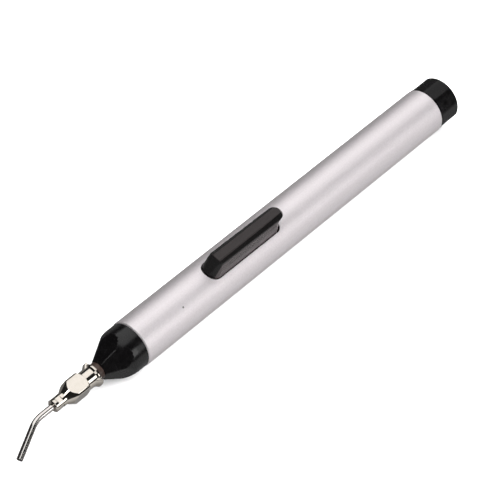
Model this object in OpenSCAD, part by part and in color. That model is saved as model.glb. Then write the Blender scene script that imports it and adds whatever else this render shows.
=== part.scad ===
// Vacuum pick-up pen: a thumb key squeezes a rubber bulb inside a tube, and the bulb draws on a bent
// needle as it opens again. The pen lies on its barrel with the key up, the needle towards -X and the
// cap towards +X. Every piece is drawn about the barrel's axis, with x = 0 at the barrel's front end.

/* [Barrel] */
// Outside diameter of the barrel
barrel_d = 14; // [13.6:0.1:16]
// Length of the barrel
barrel_l = 124.3; // [100:0.1:150]
// Wall of the barrel
barrel_wall = 1; // [0.8:0.05:1.1]
// Chamfer on both ends of the barrel
barrel_edge = 0.35; // [0.2:0.05:0.5]

/* [Nose cone] */
// Length of the nose in front of the barrel
nose_l = 12.1; // [11:0.1:14]
// Step from the barrel's outside down to the nose
nose_step = 0.15; // [0.05:0.05:0.3]
// Straight collar next to the barrel
nose_collar = 2.5; // [1.5:0.1:3.5]
// Radius of the rounded shoulder
nose_dome_r = 12; // [11:0.5:14]
// Angle over which the shoulder is rounded
nose_dome_deg = 31; // [28:1:33]
// Number of facets round the nose
nose_facets = 6; // [5:1:8]
// Distance across the flats at the small end
nose_tip_w = 4.95; // [4.8:0.05:5.6]
// Half angle of the facets
nose_facet_deg = 28.1; // [26:0.1:30]
// Turn of the facets from the key, towards -Y
nose_turn = 4; // [-30:1:30]

/* [Spigots] */
// Length of the nose's spigot inside the barrel
nose_spigot_l = 10; // [8:0.5:12]
// Length of the cap's spigot inside the barrel
cap_spigot_l = 9; // [7:0.5:14]
// Wall of both spigots
spigot_wall = 1.3; // [1:0.1:1.6]
// Radial clearance of both spigots in the barrel
spigot_clear = 0.04; // [0.02:0.01:0.08]
// Distance from the end of the nose's spigot back to the end of its boss
boss_back = 2; // [1:0.5:3]

/* [End cap] */
// Length of the cap behind the barrel
cap_l = 7.9; // [6:0.1:10]
// Step from the barrel's outside down to the cap
cap_step = 0.1; // [0.05:0.05:0.3]
// Radius of the rounded end edge
cap_edge_r = 1; // [0.8:0.1:2.4]
// Plain band between the barrel and the grip flats
cap_land = 0.45; // [0.2:0.05:1]
// Number of grip flats round the cap
cap_flats = 10; // [8:1:14]
// Depth of each grip flat below the cap's outside
cap_flat_depth = 0.2; // [0.1:0.02:0.3]
// Thickness of the cap's end wall
cap_wall = 2.4; // [2:0.1:3.5]

/* [Luer fitting] */
// Diameter of the male taper at its free end
luer_tip_d = 3.96; // [3.9:0.01:4]
// Length of the male taper
luer_l = 7.6; // [7:0.1:7.8]
// Diameter of the shank in the nose
shank_d = 4; // [3.8:0.05:4.2]
// Diameter of the shoulder ring in front of the nose
ring_d = 5.1; // [4.8:0.1:5.6]
// Length of the shoulder ring
ring_l = 1.5; // [0.5:0.05:2]
// Diameter of the air way through the taper
air_d = 1.6; // [1.2:0.1:2]
// Length of the hose barb behind the shank
barb_l = 8; // [6:0.5:9]
// Height of the barb's ridge above its root
barb_step = 0.15; // [0.1:0.01:0.2]
// Length of the barb's ridge
barb_ridge = 1.4; // [1:0.1:2]
// Length of the tapered lead of the barb
barb_lead = 1.6; // [1:0.1:2]
// Diameter of the air way through the barb
barb_air_d = 0.9; // [0.6:0.1:1]
// Radial clearance of the shank in the nose
shank_clear = 0.02; // [0.01:0.01:0.05]

/* [Needle hub] */
// Overall length of the hub
hub_l = 15.2; // [14.5:0.1:18]
// Gap between the shoulder ring and the hub
hub_gap = 0.3; // [0.1:0.05:0.4]
// Radial clearance between the two tapers
luer_clear = 0.04; // [0.02:0.01:0.06]
// Distance between the tips of the two lugs
lug_d = 7.2; // [6.8:0.1:7.8]
// Width of the lugs
lug_w = 3.6; // [3:0.1:4.4]
// Thickness of the rim and the lugs
lug_t = 0.55; // [0.4:0.05:0.8]
// Length of the lugs' sloping webs
web_l = 1.2; // [0.8:0.1:1.6]
// Diameter of the rim between the lugs
rim_d = 6.4; // [6:0.1:6.8]
// Diameter of the neck behind the block
neck_d = 5.5; // [5.2:0.1:5.7]
// Length from the hub's rear face to the block
neck_l = 3.9; // [3.5:0.1:4.6]
// Diameter of the block over its turned corners
block_d = 7.2; // [6.8:0.1:7.6]
// Distance across the block's flats
block_w = 5.6; // [5.4:0.1:6]
// Length of the block before its cone
block_l = 4.6; // [4.2:0.1:5.6]
// Length of the sloping shoulder behind the block, within its length
shoulder_l = 0.8; // [0.3:0.1:1.2]
// Length of the cone in front of the block
cone_l = 2.8; // [2.4:0.1:3.2]
// Diameter of the crimped front
front_d = 3.7; // [3.4:0.1:4]
// Chamfer on the hub's front
hub_edge = 0.3; // [0.2:0.05:0.4]
// Depth of the hub's socket past the end of the male taper
socket_extra = 0.4; // [0.2:0.1:0.8]
// Depth of the crimp dents
crimp_depth = 0.22; // [0.1:0.02:0.3]
// Length of the crimp dents
crimp_l = 1.5; // [1:0.1:1.8]
// Distance from the hub's front to the middle of the crimp dents
crimp_back = 2.1; // [1.4:0.1:2.4]
// Turn of the hub's flats from the key, towards -Y
hub_turn = 4; // [-90:1:90]

/* [Needle] */
// Outside diameter of the needle
needle_d = 1.83; // [1.6:0.01:2.1]
// Wall of the needle
needle_wall = 0.22; // [0.15:0.01:0.3]
// Length of needle held inside the hub
needle_in = 6.6; // [5:0.1:7]
// Distance from the hub to the corner of the bend
needle_corner = 6.1; // [4:0.1:9]
// Distance from the corner of the bend to the tip
needle_tip_l = 11.5; // [9:0.1:16]
// Angle of the bend
needle_bend = 28; // [15:1:45]
// Radius of the bend, at the middle of the tube
needle_bend_r = 9; // [6:0.5:12]
// Direction of the bend, from straight up round towards +Y
needle_turn = 245; // [0:1:359]
// Radial clearance of the needle in the hub
needle_clear = 0.02; // [0.01:0.01:0.04]

/* [Key] */
// Distance from the barrel's front to the key
key_x = 27.7; // [26:0.1:34]
// Length of the key at the barrel
key_l = 27.4; // [25:0.1:34]
// Width of the key at the barrel
key_w = 6.1; // [5.6:0.1:6.4]
// Height of the key above the barrel
key_rise = 5.1; // [4:0.1:5.5]
// Width of the key at the foot of its bevel
key_top_w = 4.5; // [4:0.1:5]
// Length of the sloping front
key_ramp = 2.9; // [1.6:0.1:3.4]
// Radius of the front corners at the barrel
key_front_r = 2.9; // [1:0.1:3]
// Overhang of the rear end above the barrel
key_over = 2; // [1:0.1:2.2]
// Width of the bevel round the top
key_bevel = 1.15; // [0.6:0.05:1.4]
// Height of the bevel at the front
bevel_front = 0.5; // [0.3:0.05:0.8]
// Height of the bevel at the rear
bevel_rear = 1.5; // [1.2:0.05:1.7]
// Gap between the key and the front and sides of its slot
key_gap = 0.2; // [0.15:0.05:0.3]
// Gap between the key and the rear of its slot, for its swing
key_rear_gap = 0.75; // [0.7:0.05:1]
// Corner radius of the slot's rear end
slot_corner = 2; // [1.5:0.1:2.8]
// Number of moulded pockets under the key
key_pockets = 4; // [2:1:6]
// Wall round the pockets
key_wall = 1.1; // [0.9:0.1:1.3]
// Swing of the key when it is pressed
key_swing = 5; // [3:0.5:5]

/* [Lever] */
// Lip of the lever beyond each side of the key
lip_w = 1.1; // [0.8:0.1:1.2]
// Thickness of the lip at its edge
lip_t = 0.6; // [0.5:0.05:0.8]
// Clearance of the lip under the barrel's wall
lip_clear = 0.25; // [0.2:0.05:0.3]
// Distance from the hinge pin to the front of the key
hinge_ahead = 4.9; // [4.5:0.1:7]
// Depth of the hinge pin below the lever's underside
hinge_drop = 0.45; // [0.3:0.05:0.6]
// Diameter of the hinge pin
pin_d = 1.2; // [1:0.1:1.3]
// Radial clearance of the lever on the hinge pin
pin_clear = 0.05; // [0.03:0.01:0.08]
// Radial clearance of the hinge pin in the ears
ear_clear = 0.02; // [0.01:0.01:0.04]
// Wall of the knuckle and the ears round the hinge pin
knuckle_wall = 0.55; // [0.5:0.05:0.6]
// Width of the lever's knuckle
knuckle_w = 4.6; // [4:0.1:4.8]
// Width of each ear
ear_w = 1.3; // [1:0.1:1.5]
// Side gap between the knuckle and the ears
ear_gap = 0.2; // [0.15:0.05:0.3]
// Length of the lever's tail behind the key
tail_l = 4.7; // [4.4:0.1:6]

/* [Bulb] */
// Gap between the bulb and what lies round it
bulb_gap = 0.2; // [0.15:0.05:0.3]
// Wall of the bulb
bulb_wall = 0.9; // [0.7:0.05:1.1]
// Gap between the bulb's closed end and the return spring
bulb_end_gap = 1.3; // [0.8:0.1:2]
// Length of the bulb, shoulder to closed end
bulb_l = 26.4; // [20:0.1:27]
// Length of the tapered shoulder
bulb_shoulder = 3; // [2:0.1:5]
// Outside diameter of the bulb's neck
hose_d = 2.8; // [2.6:0.1:3]
// Bore of the bulb's neck
hose_bore = 1.8; // [1.7:0.1:1.9]
// Radial clearance of the barb in the neck
barb_clear = 0.02; // [0.01:0.01:0.04]
// Length of the crimped clamp ring
clamp_l = 2.6; // [2:0.1:3.5]
// Wall of the clamp ring
clamp_wall = 0.5; // [0.4:0.05:0.6]

/* [Cradle] */
// Clearance of the cradle in the barrel
cradle_clear = 0.15; // [0.1:0.05:0.2]
// Height of the cradle's side walls above the barrel's axis
cradle_top = 0.8; // [0.5:0.1:1]
// Gap between the cradle and the nose's spigot
cradle_gap = 0.3; // [0.2:0.05:0.4]
// Room round the lever in the cradle
cradle_room = 0.3; // [0.25:0.05:0.4]
// Wall of the cradle behind the lever's tail
cradle_end = 1.2; // [0.8:0.1:2]
// Thickness of the floor under the spring
spring_floor = 1.6; // [1.2:0.1:2]

/* [Spring] */
// Outside diameter of the return spring
spring_d = 4.2; // [3.6:0.1:4.4]
// Diameter of the spring's wire
wire_d = 0.5; // [0.4:0.05:0.55]
// Number of turns, with the closed end turns
spring_turns = 6; // [5:0.5:6.5]
// Distance from the spring to the end of the lever's tail
spring_inset = 0.4; // [0.2:0.1:0.6]
// Clearance at both ends of the spring and round it
spring_clear = 0.12; // [0.1:0.02:0.2]
// Length of the stub that keeps the spring under the lever
stub_l = 1; // [0.6:0.1:1.2]

/* [Hidden] */
$fn = 96;
// A cut's overshoot, the lap of two forms in one solid, and a reach past every piece
eps = 0.01;
lap = 1;
far = 60;
// Both luer tapers narrow by six parts in a hundred
luer_taper = 0.06;

barrel_r = barrel_d/2;
bore_r = barrel_r - barrel_wall;
nose_r = barrel_r - nose_step;
cap_r = barrel_r - cap_step;
spigot_r = bore_r - spigot_clear;

// Nose: the corner radius at the small end, and the end of the shoulder's arc
nose_tip_r = nose_tip_w/2/cos(180/nose_facets) + nose_step;
dome_x = nose_collar + nose_dome_r*sin(nose_dome_deg);
dome_end_r = nose_r - nose_dome_r*(1 - cos(nose_dome_deg));
boss_r = shank_d/2 + spigot_wall;
shank_end = nose_spigot_l - boss_back;
barb_end = shank_end + barb_l;
ridge_x = barb_end - barb_lead - barb_ridge;

// Luer tapers: the base of the male taper, and the hub's place along the pen
luer_x = nose_l + ring_l;
luer_base_r = luer_tip_d/2 + luer_l*luer_taper/2;
hub_x = luer_x + hub_gap;
hub_end = hub_x + hub_l;
needle_r = needle_d/2;
needle_bore = needle_r - needle_wall;

// Needle: where the bend starts and ends, measured from the hub's front face. The bend is thinner by
// bend_thin than the straight ends, which reach bend_lap into it.
bend_cut = needle_bend_r*tan(needle_bend/2);
bend_start = needle_corner - bend_cut;
tip_straight = needle_tip_l - bend_cut;
bend_lap = 0.1;
bend_thin = 0.015;

// Lever: the radius of its lip, its underside and its hinge
slot_x0 = key_x - key_gap;
slot_x1 = key_x + key_l + key_rear_gap;
slot_w = key_w + 2*key_gap;
lip_r = bore_r - lip_clear;
lip_half = key_w/2 + lip_w;
lever_z = sqrt(lip_r*lip_r - lip_half*lip_half) - lip_t;
hinge_x = key_x - hinge_ahead;
front_r = min(key_front_r, key_w/2 - eps);
hinge_z = lever_z - hinge_drop;
knuckle_r = pin_d/2 + knuckle_wall;
lip_x0 = hinge_x + knuckle_r + 2*cradle_room;
tail_x = key_x + key_l + tail_l;
tail_drop = (tail_x - hinge_x)*sin(key_swing);
pin_l = knuckle_w + 2*ear_gap + 2*ear_w;

// Cradle: its ledge lies under the lever at full swing
cradle_r = bore_r - cradle_clear;
cradle_x0 = nose_spigot_l + cradle_gap;
cradle_x1 = tail_x + cradle_end;
ledge_z = lever_z - tail_drop - cradle_room;
bulb_r = lever_z - bulb_gap;
saddle_r = bulb_r + bulb_gap;
spring_x = tail_x - spring_d/2 - spring_inset;
bulb_end = spring_x - spring_d/2 - bulb_end_gap;
bulb_x = bulb_end - bulb_l;
spring_z0 = spring_floor - cradle_r;
spring_l = lever_z - spring_z0 - 2*spring_clear;

// The part's place: the middle of its length over the origin, the barrel on the ground
needle_reach = hub_end + needle_corner + needle_tip_l*cos(needle_bend) + needle_r*sin(needle_bend);
pen_end = barrel_l + cap_l;
mid_x = (pen_end - needle_reach)/2;

module place() {
    translate([-mid_x, 0, barrel_r]) children();
}

// Revolves a profile, radius across and length up, about the pen's axis towards the cap
module turn_back() {
    rotate([0, 90, 0]) rotate_extrude() children();
}

// The same towards the needle
module turn_front() {
    rotate([0, -90, 0]) rotate_extrude() children();
}

// A round bar along the pen, from x0 to x1
module bar(r, x0, x1) {
    translate([x0, 0, 0]) rotate([0, 90, 0]) cylinder(r = r, h = x1 - x0);
}

// A block with its lower corner at a and its upper corner at b
module block(a, b) {
    translate(a) cube(b - a);
}

// A rounded rectangle from x0 to x1, with corners of r0 at x0 and of r1 at x1
module round_slot(x0, x1, w, r0, r1) {
    translate([x0 + r0, -w/2]) square([x1 - x0 - r0 - r1, w]);
    translate([x0, r0 - w/2]) square([r0 + lap, w - 2*r0]);
    translate([x1 - r1 - lap, r1 - w/2]) square([r1 + lap, w - 2*r1]);
    for (s = [-1, 1]) {
        translate([x0 + r0, s*(w/2 - r0)]) circle(r0);
        translate([x1 - r1, s*(w/2 - r1)]) circle(r1);
    }
}

module barrel() {
    color("silver") place() difference() {
        turn_back() polygon([
            [bore_r, 0], [barrel_r - barrel_edge, 0], [barrel_r, barrel_edge],
            [barrel_r, barrel_l - barrel_edge], [barrel_r - barrel_edge, barrel_l], [bore_r, barrel_l]]);
        linear_extrude(far) round_slot(slot_x0, slot_x1, slot_w, front_r + key_gap, slot_corner);
    }
}

// Collar, rounded shoulder and cone as one outline, before the facets are cut
module nose_outline() {
    square([nose_r, nose_collar]);
    intersection() {
        translate([nose_r - nose_dome_r, nose_collar]) circle(nose_dome_r);
        translate([0, nose_collar]) square([nose_r, dome_x - nose_collar]);
    }
    polygon([[0, dome_x], [dome_end_r, dome_x], [nose_tip_r, nose_l], [0, nose_l]]);
}

module nose_cone() {
    color("#1b1b1d") place() difference() {
        union() {
            turn_front() nose_outline();
            bar(spigot_r, -eps, nose_spigot_l);
        }
        for (i = [0 : nose_facets - 1])
            rotate([nose_turn + (i + 0.5)*360/nose_facets, 0, 0])
                translate([-nose_l, 0, nose_tip_w/2]) rotate([0, -nose_facet_deg, 0])
                    translate([-far/2, -far/2, 0]) cube([far, far, far]);
        difference() {
            bar(spigot_r - spigot_wall, -nose_collar/2, nose_spigot_l + eps);
            bar(boss_r, -nose_collar, shank_end);
        }
        bar(shank_d/2 + shank_clear, -nose_l - eps, nose_spigot_l);
    }
}

module luer_fitting() {
    barb_r = hose_bore/2 - barb_clear;
    root_r = barb_r - barb_step;
    color("#5a4a42") place() difference() {
        union() {
            translate([-luer_x, 0, 0]) turn_front()
                polygon([[0, 0], [luer_base_r, 0], [luer_tip_d/2, luer_l], [0, luer_l]]);
            bar(ring_d/2, -luer_x, -nose_l);
            bar(shank_d/2, -nose_l - eps, shank_end);
            turn_back() polygon([
                [0, shank_end - eps], [root_r, shank_end - eps], [root_r, ridge_x], [barb_r, ridge_x],
                [barb_r, barb_end - barb_lead], [root_r, barb_end], [0, barb_end]]);
        }
        bar(air_d/2, -luer_x - luer_l - eps, shank_end - lap);
        bar(barb_air_d/2, 0, barb_end + eps);
    }
}

// The hub's turned form before its flats, measured from its rear face
module hub_outline() {
    flare_l = (rim_d - neck_d)/2;
    polygon([
        [0, 0], [rim_d/2, 0], [rim_d/2, lug_t], [neck_d/2, lug_t + flare_l], [neck_d/2, neck_l],
        [block_d/2, neck_l + shoulder_l], [block_d/2, neck_l + block_l],
        [front_d/2, neck_l + block_l + cone_l],
        [front_d/2, hub_l - hub_edge], [front_d/2 - hub_edge, hub_l], [0, hub_l]]);
}

// Two lugs on the rim, each with a sloping web down to the neck
module hub_lugs() {
    intersection() {
        turn_front() polygon([
            [0, 0], [lug_d/2, 0], [lug_d/2, lug_t], [neck_d/2, lug_t + web_l], [0, lug_t + web_l]]);
        block([-neck_l, -far, -lug_w/2], [0, far, lug_w/2]);
    }
}

module needle_hub() {
    socket_r = luer_base_r + luer_clear - hub_gap*luer_taper/2;
    socket_l = luer_l - hub_gap + socket_extra;
    color("#cfcdc9") place() translate([-hub_x, 0, 0]) rotate([hub_turn, 0, 0]) difference() {
        union() {
            turn_front() hub_outline();
            hub_lugs();
        }
        for (a = [0 : 90 : 270]) rotate([a, 0, 0]) {
            block([-neck_l - block_l - cone_l, -far, block_w/2], [-neck_l, far, far]);
            translate([crimp_back - hub_l, 0, front_d/2 - crimp_depth])
                block([-crimp_l/2, -far, 0], [crimp_l/2, far, far]);
        }
        turn_front() polygon([
            [0, -eps], [socket_r, -eps], [socket_r - socket_l*luer_taper/2, socket_l], [0, socket_l]]);
        bar(needle_r + needle_clear, -hub_l - eps, 0);
    }
}

// The bent line of the needle, as a round bar of radius r with each end longer by extra
module needle_line(r, extra) {
    translate([0, 0, -needle_in - extra])
        cylinder(r = r, h = needle_in + bend_start + extra + bend_lap);
    translate([needle_bend_r, 0, bend_start]) rotate([90, 0, 0]) rotate([0, 0, 180 - needle_bend])
        rotate_extrude(angle = needle_bend) translate([needle_bend_r, 0]) circle(r - bend_thin);
    translate([needle_bend_r*(1 - cos(needle_bend)), 0, bend_start + needle_bend_r*sin(needle_bend)])
        rotate([0, needle_bend, 0]) translate([0, 0, -bend_lap])
            cylinder(r = r, h = tip_straight + extra + bend_lap);
}

module needle_tube() {
    color("#d9d9dc") place()
        translate([-hub_end, 0, 0]) rotate([-needle_turn, 0, 0]) rotate([0, -90, 0]) difference() {
            needle_line(needle_r, 0);
            needle_line(needle_bore, eps);
        }
}

module end_cap() {
    color("#1b1b1d") place() translate([barrel_l, 0, 0]) difference() {
        union() {
            turn_back() {
                square([cap_r - cap_edge_r, cap_l]);
                square([cap_r, cap_l - cap_edge_r]);
                translate([cap_r - cap_edge_r, cap_l - cap_edge_r]) intersection() {
                    circle(cap_edge_r);
                    square(cap_edge_r);
                }
            }
            bar(spigot_r, -cap_spigot_l, eps);
        }
        for (i = [0 : cap_flats - 1]) rotate([(i + 0.5)*360/cap_flats, 0, 0])
            block([cap_land, -far, cap_r - cap_flat_depth], [cap_l + lap, far, far]);
        bar(spigot_r - spigot_wall, -cap_spigot_l - eps, cap_l - cap_wall);
    }
}

// One level of the key: four upright corner posts of height h, from z0 at the front and from z1 at the rear
module key_level(x0, x1, w, r0, r1, z0, z1, h) {
    for (s = [-1, 1]) {
        translate([x0 + r0, s*(w/2 - r0), z0]) cylinder(r = r0, h = h, $fn = 32);
        translate([x1 - r1, s*(w/2 - r1), z1]) cylinder(r = r1, h = h, $fn = 32);
    }
}

// The part of the key that shows: straight skirt, tapered sides, sloping front and bevelled top. The bevel
// falls towards the rear, where the head overhangs the barrel. The head starts at the waist, which stays
// above the barrel when the key is pressed.
module key_body() {
    skirt_z = sqrt(barrel_r*barrel_r - key_w*key_w/4) - key_gap/2;
    skirt_z0 = lever_z + lip_t;
    top_z = barrel_r + key_rise;
    rear = key_x + key_l;
    waist_z = barrel_r + key_gap + (rear - hinge_x)*sin(key_swing);
    waist_share = (waist_z - skirt_z)/(top_z - skirt_z);
    waist_x = key_x + key_ramp*waist_share;
    waist_w = key_w - (key_w - key_top_w)*waist_share;
    rear_r = slot_corner - key_gap;
    foot_z0 = top_z - bevel_front;
    foot_z1 = max(top_z - bevel_rear, waist_z + bevel_front);
    foot_x = key_x + key_ramp - bevel_front/2;
    head_end = rear + key_over;
    flat_w = key_top_w - 2*key_bevel;
    thin = 0.05;
    hull() {
        key_level(key_x, rear, key_w, front_r, rear_r, skirt_z0, skirt_z0, skirt_z - skirt_z0);
        key_level(waist_x, rear, waist_w, front_r/2, rear_r, waist_z, waist_z, thin);
    }
    hull() {
        key_level(waist_x, rear, waist_w, front_r/2, rear_r, waist_z, waist_z, thin);
        key_level(foot_x, head_end, key_top_w, front_r/5, key_top_w/2 - eps, foot_z0, foot_z1, thin);
        key_level(key_x + key_ramp, head_end - key_bevel, flat_w, front_r/10, flat_w/2 - eps,
                  top_z - thin, top_z - thin, thin);
    }
}

module thumb_key() {
    pocket_x0 = key_x + key_ramp + key_wall;
    pitch = (key_x + key_l - 2*key_wall - pocket_x0 + key_wall)/key_pockets;
    pocket_w = key_top_w - 2*key_wall;
    color("#1b1b1d") place() difference() {
        union() {
            key_body();
            intersection() {
                bar(lip_r, lip_x0, tail_x);
                block([lip_x0, -lip_half, lever_z], [tail_x, lip_half, far]);
            }
            block([hinge_x, -knuckle_w/2, lever_z], [lip_x0 + lap, knuckle_w/2, hinge_z + knuckle_r]);
            translate([hinge_x, 0, hinge_z]) rotate([90, 0, 0])
                cylinder(r = knuckle_r, h = knuckle_w, center = true);
            translate([spring_x, 0, lever_z - stub_l])
                cylinder(d = spring_d - 2*wire_d - 4*spring_clear, h = stub_l + eps);
        }
        for (i = [0 : key_pockets - 1])
            translate([pocket_x0 + i*pitch, -pocket_w/2, lever_z - eps])
                cube([pitch - key_wall, pocket_w, barrel_r + key_rise - key_bevel - lever_z]);
        translate([hinge_x, 0, hinge_z]) rotate([90, 0, 0])
            cylinder(r = pin_d/2 + pin_clear, h = far, center = true);
    }
}

module hinge_pin() {
    color("#c8c8cc") place() translate([hinge_x, 0, hinge_z]) rotate([90, 0, 0])
        cylinder(d = pin_d, h = pin_l, center = true);
}

module cradle() {
    ear_in = knuckle_w/2 + ear_gap;
    ledge_half = lip_half + cradle_room;
    color("#5b5f63") place() difference() {
        union() {
            intersection() {
                bar(cradle_r, cradle_x0, cradle_x1);
                block([0, -far, -far], [far*2, far, cradle_top]);
            }
            intersection() {
                bar(cradle_r, cradle_x0, cradle_x1);
                for (s = [-1, 1]) translate([hinge_x, s*(ear_in + ear_w/2), 0]) {
                    translate([0, 0, hinge_z]) rotate([90, 0, 0])
                        cylinder(r = knuckle_r, h = ear_w, center = true);
                    block([-knuckle_r, -ear_w/2, -bulb_r], [knuckle_r, ear_w/2, hinge_z]);
                }
            }
        }
        bar(saddle_r, 0, bulb_end + 2*bulb_gap);
        block([lip_x0 - cradle_room, -ledge_half, ledge_z], [far*2, ledge_half, far]);
        translate([spring_x, 0, spring_z0]) cylinder(r = spring_d/2 + spring_clear, h = far);
        translate([hinge_x, 0, hinge_z]) rotate([90, 0, 0])
            cylinder(r = pin_d/2 + ear_clear, h = far, center = true);
    }
}

// Half the bulb's section, neck first, with its closed end rounded
module bulb_section(body_r, neck_r, x0, end_x) {
    polygon([
        [0, x0], [neck_r, x0], [neck_r, bulb_x], [body_r, bulb_x + bulb_shoulder],
        [body_r, end_x - body_r], [0, end_x - body_r]]);
    translate([0, end_x - body_r]) intersection() {
        circle(body_r);
        square(body_r);
    }
}

module squeeze_bulb() {
    neck_x = shank_end + bulb_gap;
    color("#7d2f2a") place() turn_back() difference() {
        bulb_section(bulb_r, hose_d/2, neck_x, bulb_end);
        bulb_section(bulb_r - bulb_wall, hose_bore/2, neck_x - eps, bulb_end - bulb_wall);
    }
}

module hose_clamp() {
    clamp_r = hose_d/2 + barb_clear;
    clamp_x = ridge_x - clamp_l;
    color("#c9a24a") place() difference() {
        bar(clamp_r + clamp_wall, clamp_x, clamp_x + clamp_l);
        bar(clamp_r, clamp_x - eps, clamp_x + clamp_l + eps);
    }
}

// A round wire wound up the Z axis: closed turns at both ends and open turns between them
module return_spring() {
    steps = 20;
    sides = 8;
    wire_r = wire_d/2 - eps;
    count = spring_turns*steps;
    coil_r = (spring_d - wire_d)/2;
    closed = 1;
    rise = (spring_l - wire_d - 2*closed*wire_d)/(spring_turns - 2*closed);
    function height(t) = min(t, closed)*wire_d + max(0, min(t, spring_turns - closed) - closed)*rise
        + max(0, t - spring_turns + closed)*wire_d;
    points = [for (i = [0 : count], j = [0 : sides - 1])
        let (a = 360*i/steps, b = 360*j/sides, r = coil_r + wire_r*cos(b))
        [r*cos(a), r*sin(a), wire_d/2 + height(i/steps) + wire_r*sin(b)]];
    sleeve = [for (i = [0 : count - 1], j = [0 : sides - 1])
        let (k = (j + 1) % sides)
        [i*sides + j, (i + 1)*sides + j, (i + 1)*sides + k, i*sides + k]];
    ends = [[for (j = [0 : sides - 1]) j], [for (j = [sides - 1 : -1 : 0]) count*sides + j]];
    color("#d0d0d4") place() translate([spring_x, 0, spring_z0 + spring_clear])
        polyhedron(points, concat(sleeve, ends), convexity = 10);
}

barrel();
nose_cone();
luer_fitting();
needle_hub();
needle_tube();
end_cap();
thumb_key();
hinge_pin();
cradle();
squeeze_bulb();
hose_clamp();
return_spring();
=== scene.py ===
# Vacuum pick-up pen: satin tube, black nose and cap, thumb key, plated luer hub and a bent needle
import math

import bpy
from mathutils import Matrix, Vector


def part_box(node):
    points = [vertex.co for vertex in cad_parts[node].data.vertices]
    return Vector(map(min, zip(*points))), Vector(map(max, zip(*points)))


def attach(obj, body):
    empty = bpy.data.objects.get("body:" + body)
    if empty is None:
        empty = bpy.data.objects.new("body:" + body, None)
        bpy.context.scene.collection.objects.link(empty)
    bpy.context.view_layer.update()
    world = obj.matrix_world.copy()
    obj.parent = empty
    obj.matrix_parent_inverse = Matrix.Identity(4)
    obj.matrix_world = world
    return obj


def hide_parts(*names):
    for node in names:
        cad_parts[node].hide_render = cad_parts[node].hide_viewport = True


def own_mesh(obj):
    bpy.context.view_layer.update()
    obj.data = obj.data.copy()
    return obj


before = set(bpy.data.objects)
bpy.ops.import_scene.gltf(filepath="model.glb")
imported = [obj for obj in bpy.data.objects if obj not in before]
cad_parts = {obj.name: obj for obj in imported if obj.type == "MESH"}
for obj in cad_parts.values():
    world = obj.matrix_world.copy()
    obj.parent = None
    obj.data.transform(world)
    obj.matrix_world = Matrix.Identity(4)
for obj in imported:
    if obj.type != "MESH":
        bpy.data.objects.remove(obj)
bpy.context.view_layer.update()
mm = 0.001
weld = 0.0005*mm                               # points closer than this become one
onLevel = 0.001*mm                             # and this close counts as being at a place
barrelRadius = 7                               # mm; the pen lies on its barrel
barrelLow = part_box("barrel")[0]
barrelFront = barrelLow.x                      # lengths along the pen are counted from here, in mm
axisZ = barrelLow.z + barrelRadius*mm
print("frame loaded:", len(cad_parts), "nodes")


# a point x mm behind the barrel's front and r mm above the pen's axis
def at(x, r, y=0):
    return Vector((barrelFront + x*mm, y*mm, axisZ + r*mm))


def rotation(degrees, axis):
    return Matrix.Rotation(math.radians(degrees), 4, axis)


def deselect():
    bpy.ops.object.select_all(action="DESELECT")


# leaves one piece selected and active
def pickOnly(piece):
    deselect()
    piece.select_set(True)
    bpy.context.view_layer.objects.active = piece


def enterEdit(kind):
    bpy.ops.object.mode_set(mode="EDIT")
    bpy.ops.mesh.select_mode(type=kind)


def leaveEdit():
    bpy.ops.object.mode_set(mode="OBJECT")


def editAll():
    enterEdit("VERT")
    bpy.ops.mesh.select_all(action="SELECT")


# enters edit mode with the points, edges or faces that pass a test
def editSome(piece, kind, test):
    enterEdit(kind)
    bpy.ops.mesh.select_all(action="DESELECT")
    leaveEdit()
    mesh = piece.data
    for part in {"VERT": mesh.vertices, "EDGE": mesh.edges, "FACE": mesh.polygons}[kind]:
        part.select = test(part)
    bpy.ops.object.mode_set(mode="EDIT")


def extrudeBy(way):
    bpy.ops.mesh.extrude_region_move(TRANSFORM_OT_translate={"value": way})


# merges doubles and turns the faces outwards
def tidyMesh():
    editAll()
    bpy.ops.mesh.remove_doubles(threshold=weld)
    bpy.ops.mesh.normals_make_consistent(inside=False)
    leaveEdit()


def namePiece(name):
    piece = bpy.context.object
    piece.name = name
    piece.data.name = name
    return piece


def joinAll(pieces, name):
    deselect()
    for piece in pieces:
        piece.select_set(True)
    bpy.context.view_layer.objects.active = pieces[0]
    bpy.ops.object.join()
    return namePiece(name)


def applyModifier(piece, kind, settings):
    pickOnly(piece)
    change = piece.modifiers.new(kind.lower(), kind)
    for key, value in settings.items():
        setattr(change, key, value)
    bpy.ops.object.modifier_apply(modifier=change.name)


# points of an arc in a profile, from straight out towards the rear
def arc(centreX, centreR, radius, startDeg, endDeg, steps):
    angles = [math.radians(startDeg + (endDeg - startDeg)*i/steps) for i in range(steps + 1)]
    return [(centreX + radius*math.sin(a), centreR + radius*math.cos(a)) for a in angles]


# a turned piece: one point is drawn along the profile, and the line is spun about the pen's axis
def turned(name, profile, steps):
    points = [at(x, r) for x, r in profile]
    deselect()
    bpy.ops.mesh.primitive_plane_add(size=1*mm)
    piece = namePiece(name)
    editAll()
    bpy.ops.mesh.merge(type="CENTER")
    bpy.ops.transform.translate(value=points[0])
    for last, point in zip(points, points[1:]):
        extrudeBy(point - last)
    bpy.ops.mesh.select_all(action="SELECT")
    bpy.ops.mesh.spin(steps=steps, angle=2*math.pi, center=(0, 0, axisZ), axis=(1, 0, 0))
    leaveEdit()
    tidyMesh()
    return piece


# cuts everything in front of a plane off the active piece and closes the cut
def sliceOff(point, normal):
    editAll()
    bpy.ops.mesh.bisect(plane_co=point, plane_no=normal, use_fill=True, clear_outer=True)
    leaveEdit()


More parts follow.
